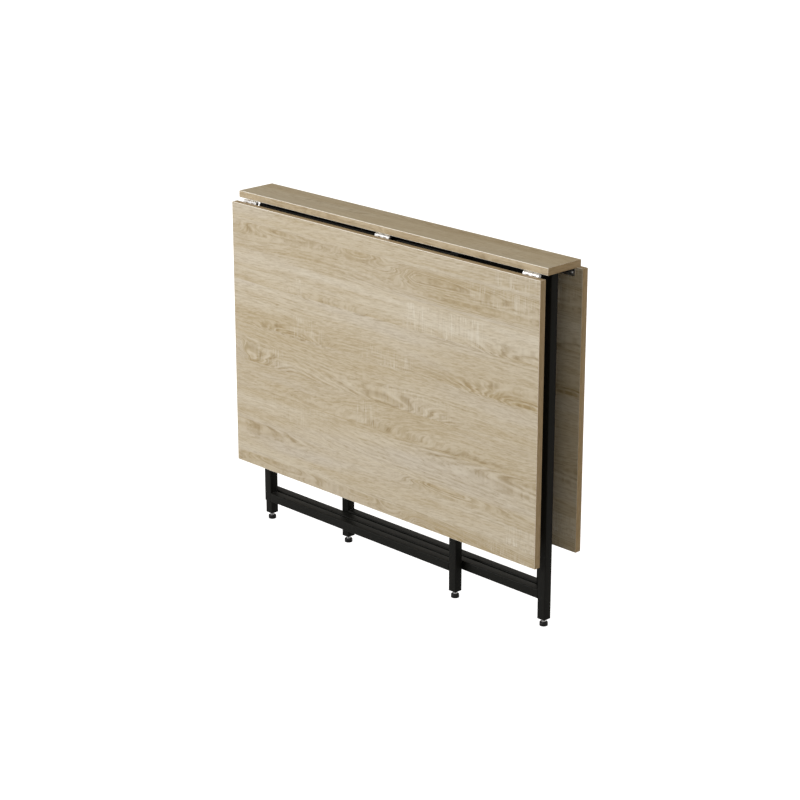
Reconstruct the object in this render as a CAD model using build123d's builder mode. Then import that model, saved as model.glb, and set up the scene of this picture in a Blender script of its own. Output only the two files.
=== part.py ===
"""Folding gateleg table in its folded state.

A narrow centre board stands on a frame of square steel tube. A long leaf hangs from each
side of it on three drop-leaf hinges, and behind each leaf a gate frame turns on a pivot
post, to carry the leaf once it is raised.

The origin is the middle of the footprint on the floor. +X runs along the board, -Y is the
front and +Z is up. A half turn about +Z maps the table onto itself, so the pieces at the
back are the front ones turned by 180 degrees. All sizes are in millimetres.
"""

import os

from build123d import *

os.makedirs("parts", exist_ok=True)

# Panels
length = 900.0
height = 770.0
panel = 15.0  # thickness of the board and of the leaves
edging = 1.0  # thickness of the edging strips
board_width = 96.0
leaf_drop = 596.0  # size of a leaf from its hinged edge to its free edge

# Drop-leaf hinges: distances are from the hinge axis
axis_out = 49.5  # axis to the middle plane of the table
axis_down = 4.5  # axis below the underside of the board
axis_gap = 1.5  # axis to each of the two panel edges
hinge_run = 41.0
hinge_places = (-409.5, 0.0, 409.5)
barrel_r = 4.0
hinge_pin_r = 2.5
pin_out = 0.6  # how far a hinge pin stands out of its barrel
knuckles = 5
knuckle_gap = 0.3
flap = 1.5
short_flap = 15.0  # axis to the inner edge of the flap under the board
long_flap = 20.0  # axis to the lower edge of the flap on the leaf
flap_start = 5.0  # where the whole flap starts, clear of the other flap's knuckles
flap_corner = 3.0
hinge_screw_x = 13.0

# Square tube and the frame
side = 20.0
wall = 1.2
tube_corner = 1.5
post_x = 416.0  # end posts
leg_base = 15.5  # lowest point of the tubes' end plugs above the floor
rail_base = 58.5
plate = 3.0  # plates on top of the frame
lug_plate = 2.0  # lugs under it

# Gates
pivot_x = 389.0
gate_y = 26.0
free_leg_x = 190.0
gate_clear = 0.5  # gap between a gate and the lug that it stands on
gate_top = 746.0  # below the hinge barrels, so that a gate swings under them
pivot_r = 4.0
running = 0.06  # radial clearance of a pin in its bush
pin_deep = 12.0  # length of a pivot pin inside its gate post
pin_head_r = 6.0
pin_head_high = 2.0
bush_deep = 14.0

# Feet
foot_r = 8.75
foot_high = 8.5
stud_r = 4.0
plug_lip = 1.5
plug_deep = 25.0

# Screws
screw_r = 2.0
screw_deep = 10.0
head_r = 3.5
head_high = 2.0
flap_screw_r = 1.75
flap_head_r = 3.0
flap_head_high = 1.2

# Worked out from the above
board_base = height - panel
axis_z = board_base - axis_down
leaf_inner = axis_out + axis_down
leaf_top = axis_z - axis_gap
leaf_base = leaf_top - leaf_drop
plate_base = board_base - plate
tube_bore = side - 2 * wall
gate_base = rail_base + gate_clear
half = side / 2
flap_screw_out = (short_flap + flap_start) / 2
flap_screw_down = (long_flap + flap_start) / 2
middle_screw_x = 22.0
end_screw_y = 17.0


def write(piece: Part, label: str) -> None:
    """Names a finished piece and writes it as a STEP file."""
    piece.label = label
    export_step(piece, f"parts/{label}.step")


def write_pair(piece: Part, front: str, back: str) -> None:
    """Writes a piece, and its copy turned half a turn about the table's upright axis."""
    with BuildPart() as turned:
        add(piece, rotation=(0, 0, 180))
    write(piece, front)
    write(turned.part, back)


def square_tube(start: Plane, run: float) -> Part:
    """Square tube that begins on a plane's origin and runs along the plane's normal."""
    with BuildPart() as tube:
        with BuildSketch(start):
            RectangleRounded(side, side, tube_corner)
            RectangleRounded(tube_bore, tube_bore, tube_corner / 3, mode=Mode.SUBTRACT)
        extrude(amount=run)
    return tube.part


def upright(x: float, y: float, base: float, top: float) -> Part:
    """Upright tube between two heights."""
    return square_tube(Plane.XY.move(Location((x, y, base))), top - base)


def rail(left: float, right: float, y: float, base: float) -> Part:
    """Level tube along X, between the inner sides of two uprights."""
    start = Plane(origin=(left, y, base + half), x_dir=(0, 1, 0), z_dir=(1, 0, 0))
    return square_tube(start, right - left)


def edging_strips(start: Plane, across: float) -> Part:
    """Four strips round a panel whose thickness runs along the plane's normal."""
    with BuildPart() as strips:
        with BuildSketch(start):
            with GridLocations(length - edging, 0, 2, 1):
                Rectangle(edging, across)
            with GridLocations(0, across - edging, 1, 2):
                Rectangle(length - 2 * edging, edging)
        extrude(amount=panel)
    return strips.part


# Centre board: its underside is drilled for the screws of the plates and the fixed flaps
plate_screws = [(-post_x, end_screw_y), (-post_x, -end_screw_y)]
plate_screws += [(post_x, end_screw_y), (post_x, -end_screw_y)]
plate_screws += [(-middle_screw_x, end_screw_y), (middle_screw_x, -end_screw_y)]
flap_screws = [
    (place + offset, turn * (axis_out - flap_screw_out))
    for turn in (-1, 1)
    for place in hinge_places
    for offset in (-hinge_screw_x, hinge_screw_x)
]
underside = Plane.XY.offset(board_base)

with BuildPart() as centre_board:
    with BuildSketch(underside):
        Rectangle(length - 2 * edging, board_width - 2 * edging)
    extrude(amount=panel)
    with BuildSketch(underside):
        with Locations(*plate_screws):
            Circle(screw_r)
        with Locations(*flap_screws):
            Circle(flap_screw_r)
    extrude(amount=screw_deep, mode=Mode.SUBTRACT)
write(centre_board.part, "centre_board")
write(edging_strips(underside, board_width), "centre_board_edging")

with BuildPart() as board_screws:
    for places, top, head, high, shank in (
        (plate_screws, plate_base, head_r, head_high, screw_r),
        (flap_screws, board_base - flap, flap_head_r, flap_head_high, flap_screw_r),
    ):
        with BuildSketch(Plane.XY.offset(top - high)):
            with Locations(*places):
                Circle(head)
        extrude(amount=high)
        fillet(board_screws.faces(Select.LAST).group_by(Axis.Z)[0].edges(), high / 3)
        with BuildSketch(Plane.XY.offset(top)):
            with Locations(*places):
                Circle(shank)
        extrude(amount=board_base + screw_deep - top)
write(board_screws.part, "board_screws")

# Leaf, hanging: drilled from its inner face for the screws of the moving flaps
leaf_face = Plane(origin=(0, -leaf_inner, leaf_top - leaf_drop / 2), x_dir=(1, 0, 0), z_dir=(0, -1, 0))
screw_up = axis_z - flap_screw_down - leaf_face.origin.Z
leaf_screws = [
    (place + offset, screw_up) for place in hinge_places for offset in (-hinge_screw_x, hinge_screw_x)
]

with BuildPart() as leaf:
    with BuildSketch(leaf_face):
        Rectangle(length - 2 * edging, leaf_drop - 2 * edging)
    extrude(amount=panel)
    with BuildSketch(leaf_face):
        with Locations(*leaf_screws):
            Circle(flap_screw_r)
    extrude(amount=screw_deep, mode=Mode.SUBTRACT)
write_pair(leaf.part, "leaf_front", "leaf_back")
write_pair(edging_strips(leaf_face, leaf_drop), "leaf_front_edging", "leaf_back_edging")

with BuildPart() as leaf_flap_screws:
    with BuildSketch(leaf_face.offset(-flap - flap_head_high)):
        with Locations(*leaf_screws):
            Circle(flap_head_r)
    extrude(amount=flap_head_high)
    fillet(leaf_flap_screws.faces(Select.LAST).group_by(Axis.Y)[-1].edges(), flap_head_high / 3)
    with BuildSketch(leaf_face.offset(-flap)):
        with Locations(*leaf_screws):
            Circle(flap_screw_r)
    extrude(amount=flap + screw_deep)
write_pair(leaf_flap_screws.part, "hinge_screws_leaf_front", "hinge_screws_leaf_back")


def hinge_flap(face: Plane, reach: float, own: range, bore_r: float) -> Part:
    """One flap of a hinge with its knuckles.

    The plane lies on the side of the flap towards the barrel. Its origin is over the
    hinge axis, its x runs along the axis and its y points along the flap.
    """
    pitch = hinge_run / knuckles
    middles = [(n - (knuckles - 1) / 2) * pitch for n in own]
    with BuildPart() as piece:
        with BuildSketch(face) as outline:
            with Locations((0, (reach + flap_start) / 2)):
                Rectangle(hinge_run, reach - flap_start)
            fillet(outline.vertices().group_by(Axis.Y)[-1], flap_corner)
            with Locations(*[(middle, flap_start / 2) for middle in middles]):
                Rectangle(pitch - knuckle_gap, flap_start)
            with Locations(*[(x, (reach + flap_start) / 2) for x in (-hinge_screw_x, hinge_screw_x)]):
                Circle(flap_screw_r, mode=Mode.SUBTRACT)
        extrude(amount=flap)
        for radius, mode in ((barrel_r, Mode.ADD), (bore_r, Mode.SUBTRACT)):
            for middle in middles:
                start = face.origin.X + middle - (pitch - knuckle_gap) / 2
                with BuildSketch(Plane(origin=(start, -axis_out, axis_z), z_dir=(1, 0, 0))):
                    Circle(radius)
                extrude(amount=pitch - knuckle_gap, mode=mode)
    return piece.part


def hinge_pin(places: tuple) -> Part:
    """The pins of a row of hinges, with rounded ends that stand out of the barrels."""
    with BuildPart() as pins:
        for place in places:
            start = Plane(origin=(place - hinge_run / 2 - pin_out, -axis_out, axis_z), z_dir=(1, 0, 0))
            with BuildSketch(start):
                Circle(hinge_pin_r)
            extrude(amount=hinge_run + 2 * pin_out)
        fillet(pins.edges().filter_by(GeomType.CIRCLE), pin_out / 2)
    return pins.part


# Hinges: the fixed flaps lie under the board, the moving ones on the inner face of a leaf
for spot, place in zip(("left", "middle", "right"), hinge_places):
    mirrored = {"left": "right", "middle": "middle", "right": "left"}[spot]
    under_board = Plane(
        origin=(place, -axis_out, board_base - flap), x_dir=(1, 0, 0), z_dir=(0, 0, 1)
    )
    on_leaf = Plane(origin=(place, flap - leaf_inner, axis_z), x_dir=(-1, 0, 0), z_dir=(0, -1, 0))
    fixed = hinge_flap(under_board, short_flap, range(1, knuckles, 2), hinge_pin_r)
    moving = hinge_flap(on_leaf, long_flap, range(0, knuckles, 2), hinge_pin_r + running)
    write_pair(fixed, f"hinge_fixed_front_{spot}", f"hinge_fixed_back_{mirrored}")
    write_pair(moving, f"hinge_moving_front_{spot}", f"hinge_moving_back_{mirrored}")
write_pair(hinge_pin(hinge_places), "hinge_pins_front", "hinge_pins_back")

# Centre frame: two end posts with a bottom and a top rail between them
post_in = post_x - half
tube_base = leg_base + plug_lip
write_pair(upright(-post_x, 0, tube_base, plate_base), "end_post_left", "end_post_right")
write(rail(-post_in, post_in, 0, rail_base), "frame_bottom_rail")
write(rail(-post_in, post_in, 0, plate_base - side), "frame_top_rail")

# Plates on top of the frame: the end ones reach out over the gates' pivots
pivot = (-pivot_x, -gate_y)
with BuildPart() as end_plate:
    with BuildSketch(Plane.XY.offset(plate_base)):
        with Locations((-post_x, 0)):
            RectangleRounded(side + 2, 2 * end_screw_y + 14, 3)
        with Locations(pivot):
            Circle(2 * pivot_r)
        make_hull()
        with Locations(pivot):
            Circle(pivot_r, mode=Mode.SUBTRACT)
        with Locations((-post_x, end_screw_y), (-post_x, -end_screw_y)):
            Circle(screw_r, mode=Mode.SUBTRACT)
    extrude(amount=plate)
write_pair(end_plate.part, "top_plate_left", "top_plate_right")

with BuildPart() as middle_plate:
    with BuildSketch(Plane.XY.offset(plate_base)):
        RectangleRounded(2 * middle_screw_x + 16, 2 * end_screw_y + 14, 3)
        with Locations((-middle_screw_x, end_screw_y), (middle_screw_x, -end_screw_y)):
            Circle(screw_r, mode=Mode.SUBTRACT)
    extrude(amount=plate)
write(middle_plate.part, "top_plate_middle")

# Lugs under the bottom rail, each with the hole for a gate's lower pivot pin
with BuildPart() as lug:
    with BuildSketch(Plane.XY.offset(rail_base - lug_plate)):
        with Locations((-post_in + half, -side / 8)):
            Rectangle(side, side / 2)
        with Locations(pivot):
            Circle(2 * pivot_r)
        make_hull()
        with Locations(pivot):
            Circle(pivot_r, mode=Mode.SUBTRACT)
    extrude(amount=lug_plate)
write_pair(lug.part, "pivot_lug_left", "pivot_lug_right")

# Pivot pins: the upper one sits flush in the plate, the lower one has a head under the lug
with BuildPart() as upper_pin:
    with BuildSketch(Plane.XY.offset(gate_top - pin_deep)):
        with Locations(pivot):
            Circle(pivot_r)
    extrude(amount=board_base - gate_top + pin_deep)
    chamfer(upper_pin.edges().group_by(Axis.Z)[0], 0.5)
write_pair(upper_pin.part, "pivot_pin_front_top", "pivot_pin_back_top")

with BuildPart() as lower_pin:
    with BuildSketch(Plane.XY.offset(rail_base - lug_plate - pin_head_high)):
        with Locations(pivot):
            Circle(pin_head_r)
    extrude(amount=pin_head_high)
    fillet(lower_pin.edges().group_by(Axis.Z)[0], 0.8)
    with BuildSketch(Plane.XY.offset(rail_base - lug_plate)):
        with Locations(pivot):
            Circle(pivot_r)
    extrude(amount=lug_plate + gate_clear + pin_deep)
    chamfer(lower_pin.edges().group_by(Axis.Z)[-1], 0.5)
write_pair(lower_pin.part, "pivot_pin_front_bottom", "pivot_pin_back_bottom")

# Gates: a pivot post and a free leg with a bottom and a top rail between them
gate_left = half - pivot_x
gate_right = free_leg_x - half
free_leg = (free_leg_x, -gate_y)
for piece, name in (
    (upright(*pivot, gate_base, gate_top), "pivot_post"),
    (upright(*free_leg, tube_base, gate_top), "free_leg"),
    (rail(gate_left, gate_right, -gate_y, gate_base), "bottom_rail"),
    (rail(gate_left, gate_right, -gate_y, gate_top - side), "top_rail"),
):
    write_pair(piece, f"gate_front_{name}", f"gate_back_{name}")

# Bushes in both ends of a pivot post: the upper one has a collar that meets the plate
with BuildPart() as bushes:
    for base in (gate_base, gate_top - bush_deep):
        with BuildSketch(Plane.XY.offset(base)):
            with Locations(pivot):
                RectangleRounded(tube_bore, tube_bore, tube_corner / 3)
        extrude(amount=bush_deep)
    with BuildSketch(Plane.XY.offset(gate_top)):
        with Locations(pivot):
            Circle(half - 1)
    extrude(amount=plate_base - gate_clear - gate_top)
    with BuildSketch(Plane.XY.offset(gate_base)):
        with Locations(pivot):
            Circle(pivot_r + running)
    extrude(amount=plate_base - gate_base, mode=Mode.SUBTRACT)
write_pair(bushes.part, "gate_front_bushes", "gate_back_bushes")

# Cap on a free leg: the pad that the raised leaf rests on
with BuildPart() as cap:
    with BuildSketch(Plane.XY.offset(gate_top)):
        with Locations(free_leg):
            RectangleRounded(side, side, tube_corner)
    extrude(amount=board_base - gate_clear - gate_top)
    fillet(cap.edges().group_by(Axis.Z)[-1], 1.2)
    with BuildSketch(Plane.XY.offset(gate_top - bush_deep)):
        with Locations(free_leg):
            RectangleRounded(tube_bore, tube_bore, tube_corner / 3)
    extrude(amount=bush_deep)
write_pair(cap.part, "gate_front_rest_pad", "gate_back_rest_pad")


# Feet: an end plug in each leg, and a disc on a stud that turns in the plug
def end_plug(x: float, y: float) -> Part:
    """Plug with a lip that closes the lower end of a leg, bored for the foot's stud."""
    with BuildPart() as plug:
        with BuildSketch(Plane.XY.offset(leg_base)):
            with Locations((x, y)):
                RectangleRounded(side, side, tube_corner)
        extrude(amount=plug_lip)
        with BuildSketch(Plane.XY.offset(tube_base)):
            with Locations((x, y)):
                RectangleRounded(tube_bore, tube_bore, tube_corner / 3)
        extrude(amount=plug_deep)
        with BuildSketch(Plane.XY.offset(leg_base)):
            with Locations((x, y)):
                Circle(stud_r + running)
        extrude(amount=plug_lip + plug_deep, mode=Mode.SUBTRACT)
    return plug.part


def foot_stud(x: float, y: float) -> Part:
    """Stud of a foot, from inside the disc to near the top of the plug."""
    with BuildPart() as stud:
        with BuildSketch(Plane.XY.offset(foot_high / 2)):
            with Locations((x, y)):
                Circle(stud_r)
        extrude(amount=tube_base + plug_deep - foot_high / 2 - 2)
        chamfer(stud.edges().group_by(Axis.Z)[-1], 0.5)
    return stud.part


def foot_disc(x: float, y: float) -> Part:
    """Disc that stands on the floor, with a blind hole for its stud."""
    with BuildPart() as disc:
        with BuildSketch():
            with Locations((x, y)):
                Circle(foot_r)
        extrude(amount=foot_high)
        fillet(disc.edges().group_by(Axis.Z)[-1], 1.5)
        chamfer(disc.edges().group_by(Axis.Z)[0], 0.5)
        with BuildSketch(Plane.XY.offset(foot_high / 2)):
            with Locations((x, y)):
                Circle(stud_r)
        extrude(amount=foot_high / 2, mode=Mode.SUBTRACT)
    return disc.part


for spot, (front, back) in {
    (-post_x, 0): ("left", "right"),
    free_leg: ("gate_front", "gate_back"),
}.items():
    write_pair(end_plug(*spot), f"end_plug_{front}", f"end_plug_{back}")
    write_pair(foot_stud(*spot), f"foot_stud_{front}", f"foot_stud_{back}")
    write_pair(foot_disc(*spot), f"foot_disc_{front}", f"foot_disc_{back}")
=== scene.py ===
"""Looks of the folding gateleg table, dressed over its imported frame.

The frame gives every place and size: a panel, tube, hinge, screw or foot is drawn where its
node stands, with the detail that the real piece has, and rides on that node's body. Lengths
are in metres. +X runs along the board, -Y is the front and +Z is up.
"""

from __future__ import annotations

import logging
import math
from dataclasses import dataclass
from enum import Enum
from functools import lru_cache

import bmesh
import bpy
from mathutils import Matrix, Vector

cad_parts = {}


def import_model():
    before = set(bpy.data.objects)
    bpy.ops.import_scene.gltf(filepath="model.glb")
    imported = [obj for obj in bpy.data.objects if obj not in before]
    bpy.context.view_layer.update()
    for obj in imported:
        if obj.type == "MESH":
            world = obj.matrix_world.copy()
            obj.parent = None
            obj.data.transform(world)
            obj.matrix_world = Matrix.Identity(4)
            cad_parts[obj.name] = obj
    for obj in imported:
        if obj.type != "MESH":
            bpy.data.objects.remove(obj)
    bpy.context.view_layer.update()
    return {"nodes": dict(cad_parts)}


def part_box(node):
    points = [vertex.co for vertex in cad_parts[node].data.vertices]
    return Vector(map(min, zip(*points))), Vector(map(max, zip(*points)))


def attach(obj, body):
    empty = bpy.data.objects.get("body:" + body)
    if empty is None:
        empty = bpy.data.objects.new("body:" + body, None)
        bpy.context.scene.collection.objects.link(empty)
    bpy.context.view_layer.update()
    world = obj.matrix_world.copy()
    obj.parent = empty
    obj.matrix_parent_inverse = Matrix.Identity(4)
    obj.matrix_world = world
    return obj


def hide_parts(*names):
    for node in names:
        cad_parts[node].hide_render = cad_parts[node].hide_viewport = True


log = logging.getLogger("gateleg_table")

MM = 0.001
NEAR = 0.001 * MM
Colour = tuple[float, float, float]
Point = tuple[float, float, float]
SIDES = ("front", "back")
SPOTS = ("left", "middle", "right")


class Along(Enum):
    """The axis that a wood grain or a brushed finish runs along, or lies across."""

    X = 0
    Y = 1
    Z = 2


# ---------------------------------------------------------------- shader trees


class Tree:
    """Short hand for placing and linking the nodes of one shader tree."""

    def __init__(self, tree: bpy.types.NodeTree) -> None:
        """Keeps the tree.

        Args:
            tree: the material's or the group's node tree.
        """
        self.tree = tree

    def add(self, kind: str, inputs: dict | None = None, **settings: object) -> bpy.types.Node:
        """Places a node.

        Args:
            kind: the node's type.
            inputs: values or sockets for its inputs, by name or number.
            settings: the node's own properties.

        Returns:
            The new node.
        """
        node = self.tree.nodes.new(kind)
        for name, value in settings.items():
            setattr(node, name, value)
        for name, value in (inputs or {}).items():
            self.feed(value, node.inputs[name])
        return node

    def feed(self, value: object, socket: bpy.types.NodeSocket) -> None:
        """Links a socket, or sets a plain value, on an input.

        Args:
            value: an output socket, or a value.
            socket: the input.
        """
        if isinstance(value, bpy.types.NodeSocket):
            self.tree.links.new(value, socket)
        elif isinstance(value, tuple) and socket.type == "RGBA":
            socket.default_value = (*value, 1.0)
        else:
            socket.default_value = value

    def math(self, operation: str, *values: object) -> bpy.types.NodeSocket:
        """Does a sum with one to three values."""
        return self.add("ShaderNodeMath", dict(enumerate(values)), operation=operation).outputs[0]

    def total(self, *values: object) -> bpy.types.NodeSocket:
        """Adds up two or more values."""
        result = values[0]
        for value in values[1:]:
            result = self.math("ADD", result, value)
        return result

    def place(self, x: object, y: object, z: object = 0.0) -> bpy.types.NodeSocket:
        """Joins three values to a vector."""
        return self.add("ShaderNodeCombineXYZ", {0: x, 1: y, 2: z}).outputs[0]

    def split(self, vector: bpy.types.NodeSocket) -> list[bpy.types.NodeSocket]:
        """Takes a vector apart."""
        return list(self.add("ShaderNodeSeparateXYZ", {0: vector}).outputs)

    def scaled(self, vector: bpy.types.NodeSocket, scale: object) -> bpy.types.NodeSocket:
        """Scales a vector evenly."""
        return self.add("ShaderNodeVectorMath", {0: vector, "Scale": scale}, operation="SCALE").outputs[0]

    def noise(self, vector: object, detail: float = 2.0, roughness: float = 0.5) -> bpy.types.NodeSocket:
        """Noise whose scale is in the vector.

        Args:
            vector: the place to read it at.
            detail: how many finer layers it has.
            roughness: how strong those are.

        Returns:
            A value about 0.5.
        """
        inputs = {"Vector": vector, "Scale": 1.0, "Detail": detail, "Roughness": roughness}
        return self.add("ShaderNodeTexNoise", inputs).outputs[0]

    def sway(self, value: object, width: float) -> bpy.types.NodeSocket:
        """Spreads a value about 0.5 over a width about 0."""
        return self.math("MULTIPLY_ADD", value, width, -width / 2)

    def remap(
        self, value: object, low: float, high: float, to_low: float = 0.0, to_high: float = 1.0
    ) -> bpy.types.NodeSocket:
        """Carries one range of values to another, smoothly, and holds it at the ends.

        Args:
            value: what is carried.
            low: where the range starts.
            high: where it ends.
            to_low: what the start becomes.
            to_high: what the end becomes.

        Returns:
            The result.
        """
        inputs = {"Value": value, "From Min": low, "From Max": high, "To Min": to_low, "To Max": to_high}
        return self.add("ShaderNodeMapRange", inputs, interpolation_type="SMOOTHSTEP").outputs[0]

    def mix(self, factor: object, one: object, other: object) -> bpy.types.NodeSocket:
        """Mixes two colours.

        Args:
            factor: how much of the second.
            one: the first colour.
            other: the second colour.

        Returns:
            The mixed colour.
        """
        node = self.add("ShaderNodeMix", data_type="RGBA")
        for value, number in ((factor, 0), (one, 6), (other, 7)):
            self.feed(value, node.inputs[number])
        return node.outputs[2]

    def group(self, tree: bpy.types.NodeTree, inputs: dict) -> bpy.types.Node:
        """Places a shared node group.

        Args:
            tree: the group.
            inputs: its inputs by name.

        Returns:
            The group's node.
        """
        node = self.add("ShaderNodeGroup", node_tree=tree)
        for name, value in inputs.items():
            self.feed(value, node.inputs[name])
        return node


def open_group(name: str, inputs: dict[str, str], outputs: dict[str, str]) -> tuple[Tree, dict]:
    """Starts a node group with named sockets.

    Args:
        name: the group's name.
        inputs: the kind of each input: Float, Color or Vector.
        outputs: the kind of each output.

    Returns:
        The tree, and the inputs' sockets by name.
    """
    tree = bpy.data.node_groups.new(name, "ShaderNodeTree")
    for in_out, sockets in (("INPUT", inputs), ("OUTPUT", outputs)):
        for label, kind in sockets.items():
            tree.interface.new_socket(name=label, in_out=in_out, socket_type=f"NodeSocket{kind}")
    source = tree.nodes.new("NodeGroupInput")
    return Tree(tree), {label: source.outputs[label] for label in inputs}


def close_group(tree: Tree, outputs: dict[str, bpy.types.NodeSocket]) -> bpy.types.NodeTree:
    """Links a group's outputs.

    Args:
        tree: the group's tree.
        outputs: the socket for each output, by name.

    Returns:
        The finished group.
    """
    end = tree.tree.nodes.new("NodeGroupOutput")
    for label, socket in outputs.items():
        tree.tree.links.new(socket, end.inputs[label])
    return tree.tree


@lru_cache(maxsize=None)
def saw_patch_group() -> bpy.types.NodeTree:
    """Where a patch of saw marks lies: soft at its ends and cut off straight above and below.

    Returns:
        The group.
    """
    names = ("Middle U", "Middle V", "Half U", "Half V")
    tree, given = open_group(
        "saw_patch", {"Vector": "Vector", **{name: "Float" for name in names}}, {"Mask": "Float"}
    )
    u, v, _ = tree.split(given["Vector"])
    aside = tree.math("ABSOLUTE", tree.math("SUBTRACT", u, given["Middle U"]))
    above = tree.math("ABSOLUTE", tree.math("SUBTRACT", v, given["Middle V"]))
    ends = tree.remap(tree.math("DIVIDE", aside, given["Half U"]), 0.65, 1.08, 1.0, 0.0)
    rise = tree.remap(tree.math("DIVIDE", above, given["Half V"]), 0.86, 1.0, 1.0, 0.0)
    return close_group(tree, {"Mask": tree.math("MULTIPLY", ends, rise)})


@lru_cache(maxsize=None)
def flame_group() -> bpy.types.NodeTree:
    """A swelling that the growth rings flow round, within one strip of oak.

    Left and Right are its reach along the grain to either side of its middle, Half its reach
    across, Low and High the edges of the strip. Waver shifts it along the grain, so that its
    outline isn't smooth.

    Returns:
        The group.
    """
    names = ("Middle U", "Middle V", "Left", "Right", "Half", "Low", "High", "Waver")
    tree, given = open_group(
        "oak_flame", {"Vector": "Vector", **{name: "Float" for name in names}}, {"Swell": "Float"}
    )
    u, v, _ = tree.split(given["Vector"])
    aside = tree.math("SUBTRACT", tree.math("ADD", u, given["Waver"]), given["Middle U"])
    before = tree.math("DIVIDE", tree.math("MINIMUM", aside, 0.0), given["Left"])
    after = tree.math("DIVIDE", tree.math("MAXIMUM", aside, 0.0), given["Right"])
    along = tree.math("POWER", tree.math("ADD", after, tree.math("ABSOLUTE", before)), 2.0)
    rise = tree.math("DIVIDE", tree.math("SUBTRACT", v, given["Middle V"]), given["Half"])
    fall = tree.math("EXPONENT", tree.math("MULTIPLY", tree.math("MULTIPLY_ADD", rise, rise, along), -1.0))
    inside = tree.math(
        "MULTIPLY", tree.math("GREATER_THAN", v, given["Low"]), tree.math("LESS_THAN", v, given["High"])
    )
    return close_group(tree, {"Swell": tree.math("MULTIPLY", fall, inside)})


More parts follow.
